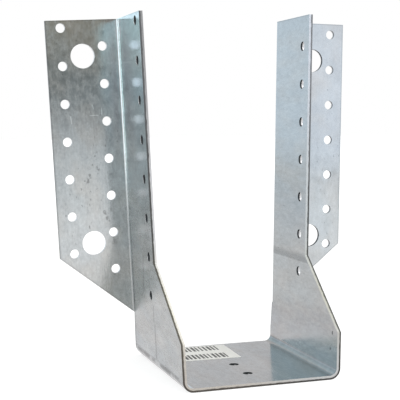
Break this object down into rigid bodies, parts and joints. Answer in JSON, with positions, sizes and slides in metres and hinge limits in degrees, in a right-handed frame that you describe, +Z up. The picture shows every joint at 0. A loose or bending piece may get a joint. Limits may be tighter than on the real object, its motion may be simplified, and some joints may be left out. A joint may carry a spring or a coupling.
{
  "type": "joist hanger",
  "caption": "Face-fix joist hanger folded from galvanised steel strip: a flat seat, tapered sides with staggered nail holes, and header flanges with nail and bolt holes.",
  "frame": {"origin": "middle of the seat's underside", "axes": "+Y towards the header, at right angles to the flanges; +Z up the sides; +X to the right as seen from the joist's end"},
  "size_m": [0.172, 0.087, 0.1834],
  "materials": {
    "galvanised_steel": "hot-dip galvanised sheet, smooth and semi-glossy",
    "label_paper": "matt self-adhesive paper"
  },
  "bodies": {
    "root": {"hanger": "galvanised_steel"}
  },
  "joints": []
}
